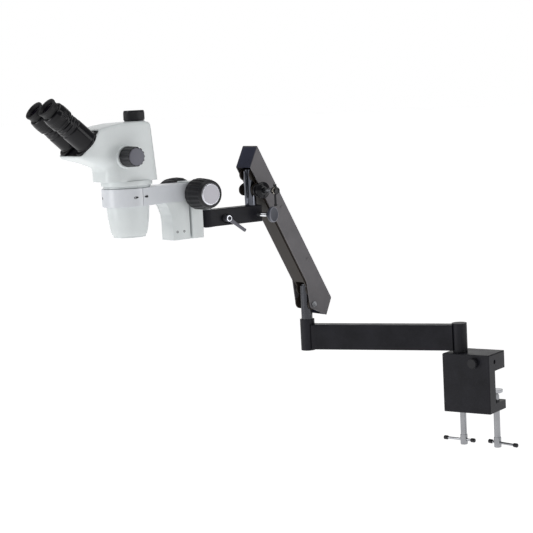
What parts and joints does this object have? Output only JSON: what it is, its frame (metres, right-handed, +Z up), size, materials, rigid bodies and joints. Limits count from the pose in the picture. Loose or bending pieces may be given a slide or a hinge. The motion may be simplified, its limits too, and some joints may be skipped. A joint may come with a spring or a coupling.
{
  "type": "stereo microscope",
  "caption": "Trinocular stereo zoom microscope head on a rack focus mount, carried by a sprung articulating arm with a screw table clamp.",
  "frame": {"origin": "centre of the flat underside of the clamp's upper jaw, the face that rests on the table", "axes": "+Z up, +X along the table's edge, +Y in over the table"},
  "size_m": [0.6134, 0.6597, 0.6885],
  "materials": {
    "clamp_body": "fine-textured black powder coat",
    "lock_plunger": "turned steel",
    "post_lock_knob": "black moulded plastic over a steel screw",
    "clamp_pad_left": "turned steel",
    "clamp_pad_right": "turned steel",
    "clamp_screw_left": "bright chrome",
    "clamp_screw_right": "bright chrome",
    "tommy_bar_left": "steel bar with black end caps",
    "tommy_bar_right": "steel bar with black end caps",
    "lower_arm_tube": "fine-textured black powder coat",
    "lower_arm_bosses": "fine-textured black powder coat",
    "post_1": "bright chrome",
    "post_2": "turned steel",
    "arm_channel": "black paint",
    "arm_cover": "satin dark grey paint",
    "arm_end_caps": "smooth dark blue-black",
    "cover_screws": "bright chrome",
    "pivot_bolts": "bright chrome",
    "gas_cylinder": "gloss black paint",
    "link_bars": "blackened flat steel",
    "link_pins": "turned steel",
    "gas_rod": "hard chrome",
    "post_3": "bright chrome",
    "lock_handle": "black moulded plastic over a steel screw",
    "lock_bar": "steel bar with black end caps",
    "short_arm": "fine-textured black powder coat",
    "clamp_lever": "dark grey lever with a bright ring",
    "swivel_knob": "black moulded plastic over a steel screw",
    "mount_pin": "turned steel",
    "focus_housing": "cool white satin paint",
    "pinion_shaft": "turned steel",
    "focus_knob_right": "ribbed black plastic",
    "focus_knob_left": "ribbed black plastic",
    "focus_knob_discs": "satin grey disc with a bevelled rim",
    "focus_column": "cool white satin paint",
    "focus_rack": "cut brass",
    "ring_arm": "cool white satin paint",
    "ring_front": "cool white satin paint",
    "mount_screws": "turned steel",
    "head_shell": "cool white satin paint",
    "face_plate": "satin black",
    "lower_barrel": "cool white satin paint",
    "objective_lens": "coated glass",
    "beam_splitter": "coated glass",
    "photo_tube": "satin black",
    "zoom_shaft": "turned steel",
    "zoom_knob_right": "ribbed black plastic",
    "zoom_knob_left": "ribbed black plastic",
    "zoom_knob_discs": "satin grey disc with a bevelled rim",
    "photo_cap": "ribbed black plastic",
    "eye_tube_right": "satin black",
    "eye_tube_left": "satin black",
    "eyepiece_right": "satin black",
    "eyecup_right": "soft black rubber",
    "eye_lens_right": "coated glass",
    "eyepiece_left": "satin black",
    "eyecup_left": "soft black rubber",
    "eye_lens_left": "coated glass",
    "diopter_ring_right": "knurled black ring",
    "diopter_ring_left": "knurled black ring"
  },
  "bodies": {
    "clamp": {"clamp_body": "clamp_body", "lock_plunger": "lock_plunger"},
    "post_lock": {"post_lock_knob": "post_lock_knob"},
    "pad_left": {"clamp_pad_left": "clamp_pad_left"},
    "pad_right": {"clamp_pad_right": "clamp_pad_right"},
    "screw_left": {"clamp_screw_left": "clamp_screw_left"},
    "screw_right": {"clamp_screw_right": "clamp_screw_right"},
    "bar_left": {"tommy_bar_left": "tommy_bar_left"},
    "bar_right": {"tommy_bar_right": "tommy_bar_right"},
    "lower_arm": {"lower_arm_tube": "lower_arm_tube", "lower_arm_bosses": "lower_arm_bosses", "post_1": "post_1"},
    "elbow_post": {"post_2": "post_2"},
    "spring_arm": {"arm_channel": "arm_channel", "arm_cover": "arm_cover", "arm_end_caps": "arm_end_caps", "cover_screws": "cover_screws", "pivot_bolts": "pivot_bolts", "gas_cylinder": "gas_cylinder"},
    "link": {"link_bars": "link_bars", "link_pins": "link_pins"},
    "gas_rod": {"gas_rod": "gas_rod"},
    "upper_post": {"post_3": "post_3"},
    "lock_screw": {"lock_handle": "lock_handle"},
    "lock_bar": {"lock_bar": "lock_bar"},
    "short_arm": {"short_arm": "short_arm"},
    "lever": {"clamp_lever": "clamp_lever"},
    "swivel_knob": {"swivel_knob": "swivel_knob"},
    "focus_mount": {"mount_pin": "mount_pin", "focus_housing": "focus_housing"},
    "focus_knobs": {"pinion_shaft": "pinion_shaft", "focus_knob_right": "focus_knob_right", "focus_knob_left": "focus_knob_left", "focus_knob_discs": "focus_knob_discs"},
    "focus_carriage": {"focus_column": "focus_column", "focus_rack": "focus_rack", "ring_arm": "ring_arm", "ring_front": "ring_front", "mount_screws": "mount_screws"},
    "head": {"head_shell": "head_shell", "face_plate": "face_plate", "lower_barrel": "lower_barrel", "objective_lens": "objective_lens", "beam_splitter": "beam_splitter", "photo_tube": "photo_tube"},
    "zoom_knobs": {"zoom_shaft": "zoom_shaft", "zoom_knob_right": "zoom_knob_right", "zoom_knob_left": "zoom_knob_left", "zoom_knob_discs": "zoom_knob_discs"},
    "photo_cap": {"photo_cap": "photo_cap"},
    "tube_right": {"eye_tube_right": "eye_tube_right"},
    "tube_left": {"eye_tube_left": "eye_tube_left"},
    "eyepiece_right": {"eyepiece_right": "eyepiece_right", "eyecup_right": "eyecup_right", "eye_lens_right": "eye_lens_right"},
    "eyepiece_left": {"eyepiece_left": "eyepiece_left", "eyecup_left": "eyecup_left", "eye_lens_left": "eye_lens_left"},
    "diopter_right": {"diopter_ring_right": "diopter_ring_right"},
    "diopter_left": {"diopter_ring_left": "diopter_ring_left"}
  },
  "joints": [
    {"name": "post_lock_turn", "type": "hinge", "parent": "clamp", "child": "post_lock", "pos_m": [0.0175, -0.045, 0.017], "axis": [0, -1, 0], "range_deg": [-360, 360]},
    {"name": "clamp_pad_left_travel", "type": "slide", "parent": "clamp", "child": "pad_left", "axis": [0, 0, 1], "range_m": [-0.014, 0.038]},
    {"name": "clamp_screw_left_turn", "type": "hinge", "parent": "pad_left", "child": "screw_left", "pos_m": [-0.035, 0.006, -0.1], "axis": [0, 0, -1], "range_deg": [-2884, 7821]},
    {"name": "tommy_bar_left_slide", "type": "slide", "parent": "screw_left", "child": "bar_left", "axis": [0.9962, -0.0872, 0], "range_m": [-0.005, 0.025]},
    {"name": "clamp_pad_right_travel", "type": "slide", "parent": "clamp", "child": "pad_right", "axis": [0, 0, 1], "range_m": [-0.014, 0.038]},
    {"name": "clamp_screw_right_turn", "type": "hinge", "parent": "pad_right", "child": "screw_right", "pos_m": [0.035, 0.006, -0.1], "axis": [0, 0, -1], "range_deg": [-2884, 7821]},
    {"name": "tommy_bar_right_slide", "type": "slide", "parent": "screw_right", "child": "bar_right", "axis": [0.9703, -0.2419, 0], "range_m": [-0.028, 0.002]},
    {"name": "lower_arm_swing", "type": "hinge", "parent": "clamp", "child": "lower_arm", "pos_m": [-0.0215, -0.022, 0.032], "axis": [0, 0, 1], "continuous": true},
    {"name": "elbow_swing", "type": "hinge", "parent": "lower_arm", "child": "elbow_post", "pos_m": [-0.31065, -0.09409, 0.124], "axis": [0, 0, 1], "continuous": true},
    {"name": "arm_lift", "type": "hinge", "parent": "elbow_post", "child": "spring_arm", "pos_m": [-0.31065, -0.09409, 0.124], "axis": [-0.9455, 0.3256, 0], "range_deg": [-68, 3]},
    {"name": "link_bars_lift", "type": "hinge", "parent": "elbow_post", "child": "link", "pos_m": [-0.31065, -0.09409, 0.152], "axis": [-0.9455, 0.3256, 0], "range_deg": [-68.5, 3.5]},
    {"name": "upper_post_level", "type": "hinge", "parent": "spring_arm", "child": "upper_post", "pos_m": [-0.34975, -0.20764, 0.35178], "axis": [-0.9455, 0.3256, 0], "range_deg": [-3.5, 68.5]},
    {"name": "gas_rod_travel", "type": "slide", "parent": "spring_arm", "child": "gas_rod", "axis": [-0.1518, -0.441, 0.8846], "range_m": [-0.0291, 0.00176]},
    {"name": "arm_lock_turn", "type": "hinge", "parent": "spring_arm", "child": "lock_screw", "pos_m": [-0.30247, -0.22392, 0.35178], "axis": [0.9455, -0.3256, 0], "range_deg": [-90, 90]},
    {"name": "arm_lock_bar_slide", "type": "slide", "parent": "lock_screw", "child": "lock_bar", "axis": [0, 0, 1], "range_m": [0, 0.014]},
    {"name": "short_arm_swing", "type": "hinge", "parent": "upper_post", "child": "short_arm", "pos_m": [-0.34975, -0.20764, 0.32338], "axis": [0, 0, 1], "range_deg": [-100, 10]},
    {"name": "clamp_lever_turn", "type": "hinge", "parent": "short_arm", "child": "lever", "pos_m": [-0.35819, -0.27824, 0.30568], "axis": [0.9455, -0.3256, 0], "range_deg": [-50, 50]},
    {"name": "swivel_knob_turn", "type": "hinge", "parent": "short_arm", "child": "swivel_knob", "pos_m": [-0.31975, -0.20764, 0.30588], "axis": [1, 0, 0], "range_deg": [-360, 360]},
    {"name": "focus_mount_swing", "type": "hinge", "parent": "short_arm", "child": "focus_mount", "pos_m": [-0.38204, -0.30144, 0.32338], "axis": [0, 0, 1], "range_deg": [-50, 50]},
    {"name": "focus_travel", "type": "slide", "parent": "focus_mount", "child": "focus_carriage", "axis": [0, 0, 1], "range_m": [-0.02, 0.03]},
    {"name": "focus_knob_turn", "type": "hinge", "parent": "focus_mount", "child": "focus_knobs", "pos_m": [-0.39438, -0.33727, 0.35628], "axis": [0.9455, -0.3256, 0], "range_deg": [-240.7, 161.2]},
    {"name": "head_turn", "type": "hinge", "parent": "focus_carriage", "child": "head", "pos_m": [-0.43703, -0.46114, 0.37678], "axis": [0, 0, 1], "continuous": true},
    {"name": "zoom_turn", "type": "hinge", "parent": "head", "child": "zoom_knobs", "pos_m": [-0.44403, -0.48147, 0.43278], "axis": [0.9455, -0.3256, 0], "range_deg": [-150, 150]},
    {"name": "photo_cap_lift", "type": "slide", "parent": "head", "child": "photo_cap", "axis": [0, 0, 1], "range_m": [0, 0.025]},
    {"name": "eye_tube_right_swing", "type": "hinge", "parent": "head", "child": "tube_right", "pos_m": [-0.44337, -0.56247, 0.45072], "axis": [-0.2457, -0.7136, 0.6561], "range_deg": [-60, 8]},
    {"name": "eye_tube_left_swing", "type": "hinge", "parent": "head", "child": "tube_left", "pos_m": [-0.49443, -0.54489, 0.45072], "axis": [-0.2457, -0.7136, 0.6561], "range_deg": [-8, 60]},
    {"name": "diopter_right_turn", "type": "hinge", "parent": "tube_right", "child": "diopter_right", "pos_m": [-0.45063, -0.58357, 0.48602], "axis": [-0.2457, -0.7136, 0.6561], "range_deg": [-150, 150]},
    {"name": "eyepiece_right_lift", "type": "slide", "parent": "tube_right", "child": "eyepiece_right", "axis": [-0.2457, -0.7136, 0.6561], "range_m": [0, 0.036]},
    {"name": "diopter_left_turn", "type": "hinge", "parent": "tube_left", "child": "diopter_left", "pos_m": [-0.50169, -0.56599, 0.48602], "axis": [-0.2457, -0.7136, 0.6561], "range_deg": [-150, 150]},
    {"name": "eyepiece_left_lift", "type": "slide", "parent": "tube_left", "child": "eyepiece_left", "axis": [-0.2457, -0.7136, 0.6561], "range_m": [0, 0.036]}
  ],
  "couplings": [
    {"joint": "clamp_screw_left_turn", "follows": "clamp_pad_left_travel", "rad_per_m": 3590.4},
    {"joint": "clamp_screw_right_turn", "follows": "clamp_pad_right_travel", "rad_per_m": 3590.4},
    {"joint": "link_bars_lift", "follows": "arm_lift", "ratio": 1},
    {"joint": "upper_post_level", "follows": "arm_lift", "ratio": -1},
    {"joint": "gas_rod_travel", "follows": "arm_lift", "m_per_rad": 0.0241},
    {"joint": "focus_knob_turn", "follows": "focus_travel", "rad_per_m": -138.89},
    {"joint": "eye_tube_left_swing", "follows": "eye_tube_right_swing", "ratio": -1}
  ]
}
